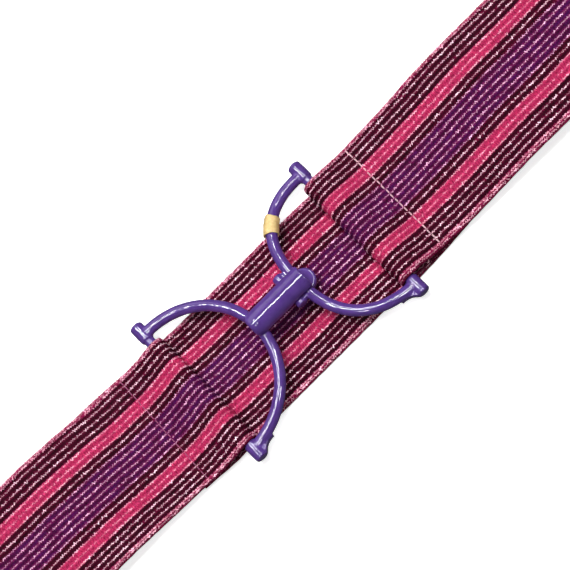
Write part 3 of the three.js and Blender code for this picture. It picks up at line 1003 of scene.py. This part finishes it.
# %% Finish of the castings
def finish_enamel():
    finish, tree, shader = make_finish("purple_enamel")
    place = add_node(tree, "ShaderNodeTexCoord").outputs["Object"]
    cloud = add_noise(tree, place, 260, 3)
    stops = [(0.3, linear(86, 56, 136)), (0.7, linear(98, 66, 150))]
    tree.links.new(add_ramp(tree, cloud, stops), shader.inputs["Base Color"])
    peel = add_bump(tree, shader, add_noise(tree, place, 620, 1.5), 0.35, 0.1 * MM)
    tree.links.new(peel, shader.inputs["Coat Normal"])
    set_sockets(shader, {
        "Roughness": 0.5, "Specular IOR Level": 0, "Coat Weight": 1, "Coat Roughness": 0.05,
    })
    return finish


enamel = finish_enamel()
for piece in (left_half, right_half):
    piece.data.materials.clear()
    piece.data.materials.append(enamel)
print("castings enamelled")

# %% [markdown]
# ## The cream wrap
# A narrow piece of thin tape is wound round one arm. Its cross-section is a spiral of a little more than
# one turn, so the free end makes a step. The tape doesn't follow the bend of the arm quite smoothly, so
# it creases, and its edges run slightly uneven.

# %% Wind the wrap
WRAP_LENGTH = 6.5 * MM
WRAP_INNER = ARM_DIAMETER / 2 + 0.12 * MM
WRAP_WALL = 0.6 * MM
WRAP_PLACE = 0.757
WRAP_TURNS = 1.12
WRAP_STEP_ANGLE = math.radians(200)
WRAP_ROWS = 22
WRAP_COLUMNS = 92
WRAP_CREASE = 0.07 * MM
WRAP_LONG_CREASE = 0.05 * MM
WRAP_UNEVEN = 0.14 * MM


def wind_wrap(half):
    line = arm_line(half)
    reach = np.concatenate([[0], np.cumsum(np.linalg.norm(np.diff(line, axis=0), axis=1))])
    at = WRAP_PLACE * reach[-1] + np.linspace(-0.5, 0.5, WRAP_ROWS) * WRAP_LENGTH
    centre = np.stack([np.interp(at, reach, line[:, axis]) for axis in range(3)], axis=-1)
    ahead = np.gradient(centre, axis=0)
    ahead /= np.linalg.norm(ahead, axis=1)[:, None]
    beside = np.cross(ahead, (0.0, 0.0, 1.0))
    beside /= np.linalg.norm(beside, axis=1)[:, None]
    upward = np.cross(beside, ahead)
    wound = np.linspace(0, 2 * math.pi * WRAP_TURNS, WRAP_COLUMNS)
    angle = WRAP_STEP_ANGLE + wound
    spin = beside[:, None] * np.cos(angle)[None, :, None] + upward[:, None] * np.sin(angle)[None, :, None]
    inner = WRAP_INNER + (WRAP_WALL + 0.05 * MM) * smooth_step(wound / (2 * math.pi), 0.93, 1.0)
    crease = WRAP_CREASE * waves(angle[None, :] * MM, 2, 1.1 * MM, 0.7 * MM, 2.3 * MM)
    along = at[:, None] + angle[None, :] * 0.4 * MM
    crease = crease + WRAP_LONG_CREASE * waves(along, 4, 1.9 * MM, 3.1 * MM)
    outer = inner[None, :] + WRAP_WALL * 0.75 + crease
    uneven = WRAP_UNEVEN * waves(angle * MM, 7, 2.9 * MM, 1.7 * MM)
    slide = ahead[:, None] * (uneven[None, :, None] * np.linspace(-1, 1, WRAP_ROWS)[:, None, None])
    outside = centre[:, None] + spin * outer[..., None] + slide
    inside = centre[:, None] + spin * inner[None, :, None] + slide
    ring = np.concatenate([outside, inside[::-1]], axis=0)
    points = ring.transpose(1, 0, 2).reshape(-1, 3)
    points[:, 1] += half["slip"]
    width = len(ring)
    place = np.arange(WRAP_ROWS - 1)
    cap = np.stack([place, place + 1, width - 2 - place, width - 1 - place], axis=-1)
    faces = [ring_quads(WRAP_COLUMNS, width), cap, cap[:, ::-1] + (WRAP_COLUMNS - 1) * width]
    return make_piece("cream_wrap", points, np.concatenate(faces))


def finish_wrap():
    finish, tree, shader = make_finish("cream_wrap")
    place = add_node(tree, "ShaderNodeTexCoord").outputs["Object"]
    fibre = add_noise(tree, place, 900, 4)
    stops = [(0.25, linear(226, 188, 116)), (0.5, linear(240, 206, 134)), (0.75, linear(250, 222, 156))]
    tree.links.new(add_ramp(tree, fibre, stops), shader.inputs["Base Color"])
    add_bump(tree, shader, fibre, 0.25, 0.1 * MM)
    set_sockets(shader, {"Roughness": 0.6})
    return finish


wrap = wind_wrap(HALVES["right"])
wrap.data.materials.append(finish_wrap())
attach(wrap, "root")
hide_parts("arm_band")
print(wrap.name, count_triangles(wrap), "triangles")

# %% [markdown]
# The elastic is a sheet: its flat size is the width of the webbing and the length of the line that it
# follows. The threads and stitches are separate pieces that go with it.

# %% Print the flat size of the sheet
print("flat size", round(ELASTIC_WIDTH / MM, 1), "by", round(strip_length / MM, 1), "mm")

# %% [markdown]
# ## Floor and light
# The belt lies on a plain white floor inside a white dome, so no edge shows in a level view. The floor
# glows a little, and more so farther out, where the light of the lamps fades.
#
# Small round forms show every lamp as a line, so fill and gloss come from different lamps. Two soft
# boxes give fill alone. Long, narrow tubes give gloss alone: the bright line along the barrel and the
# arms. The soft box behind the far edge gives both, and its reflection is the broad pale band.

# %% Floor and backdrop
STAGE_REACH = 8.0
FLOOR_DROP = 0.2 * MM
LIT_REACH = (0.5, 2.0)
DOME_RISE = (-0.05, 1.5)
DOME_ROWS = 12


def make_stage(name, points, faces, paint, glow):
    piece = make_piece(name, points, faces)
    finish, tree, shader = make_finish("white_" + name)
    place = add_node(tree, "ShaderNodeTexCoord").outputs["Object"]
    far = add_node(tree, "ShaderNodeVectorMath", {0: place}, operation="LENGTH").outputs["Value"]
    tree.links.new(add_range(tree, far, *LIT_REACH, glow, 1), shader.inputs["Emission Strength"])
    set_sockets(shader, {
        "Base Color": (paint, paint, paint, 1), "Roughness": 0.9, "Specular IOR Level": 0,
        "Emission Color": (1, 1, 1, 1),
    })
    piece.data.materials.append(finish)
    piece.visible_glossy = False
    piece.visible_diffuse = False
    return piece


floor_height = elastic_low.z - FLOOR_DROP
floor_corners = [
    (x * STAGE_REACH, y * STAGE_REACH, floor_height) for x, y in ((-1, -1), (1, -1), (1, 1), (-1, 1))
]
floor = make_stage("floor", floor_corners, [(0, 1, 2, 3)], 0.9, 0.75)
around = np.linspace(0, 2 * math.pi, ROUND_SIDES, endpoint=False)
dome_points = STAGE_REACH * np.array([
    (math.cos(rise) * math.cos(turn), math.cos(rise) * math.sin(turn), math.sin(rise))
    for rise in np.linspace(*DOME_RISE, DOME_ROWS)
    for turn in around
])
last_ring = list(range((DOME_ROWS - 1) * ROUND_SIDES, DOME_ROWS * ROUND_SIDES))
dome_faces = ring_quads(DOME_ROWS, ROUND_SIDES).tolist() + [last_ring]
backdrop = make_stage("backdrop", dome_points, dome_faces, 0.0, 1.0)
backdrop.visible_shadow = False
print("floor at", round(floor.data.vertices[0].co.z / MM, 2), "mm")

# %% Lights
LAMPS = [
    {"name": "overhead_softbox", "place": (0, 0.15, 1.2), "size": (0.6, 0.4), "power": 13, "light": "fill"},
    {"name": "near_softbox", "place": (0.2, -1.3, 0.45), "size": (1.0, 0.4), "power": 1.2, "light": "fill"},
    {"name": "far_softbox", "place": (-0.1, 1.0, 0.8), "size": (1.1, 0.9), "power": 5, "light": "both"},
    {"name": "overhead_tube", "place": (0, 0.05, 1.2), "size": (1.3, 0.1), "power": 20, "light": "gloss"},
    {"name": "left_tube", "place": (-0.35, 0.44, 1.2), "size": (0.3, 0.09), "power": 5.5, "light": "gloss"},
    {"name": "right_tube", "place": (0.35, 0.44, 1.2), "size": (0.3, 0.09), "power": 5.5, "light": "gloss"},
    {"name": "left_glint", "place": (-0.39, -0.6, 1.1), "size": (0.24, 0.12), "power": 6, "light": "gloss"},
    {"name": "right_glint", "place": (0.39, -0.6, 1.1), "size": (0.24, 0.12), "power": 6, "light": "gloss"},
]
WORLD_LIGHT = 0.12


def hang_lamp(lamp):
    light = bpy.data.lights.new(lamp["name"], "AREA")
    light.shape = "RECTANGLE"
    light.size, light.size_y = lamp["size"]
    light.energy = lamp["power"]
    holder = bpy.data.objects.new(lamp["name"], light)
    holder.location = lamp["place"]
    holder.visible_diffuse = lamp["light"] != "gloss"
    holder.visible_glossy = lamp["light"] != "fill"
    holder.rotation_euler = Vector(lamp["place"]).to_track_quat("Z", "Y").to_euler()
    scene.collection.objects.link(holder)
    return holder


for lamp in LAMPS:
    hang_lamp(lamp)

world = bpy.data.worlds.new("studio")
world.use_nodes = True
set_sockets(world.node_tree.nodes["Background"], {"Color": (1, 1, 1, 1), "Strength": WORLD_LIGHT})
scene.world = world
scene.view_settings.view_transform = "Standard"
print(len(LAMPS), "lamps hung")
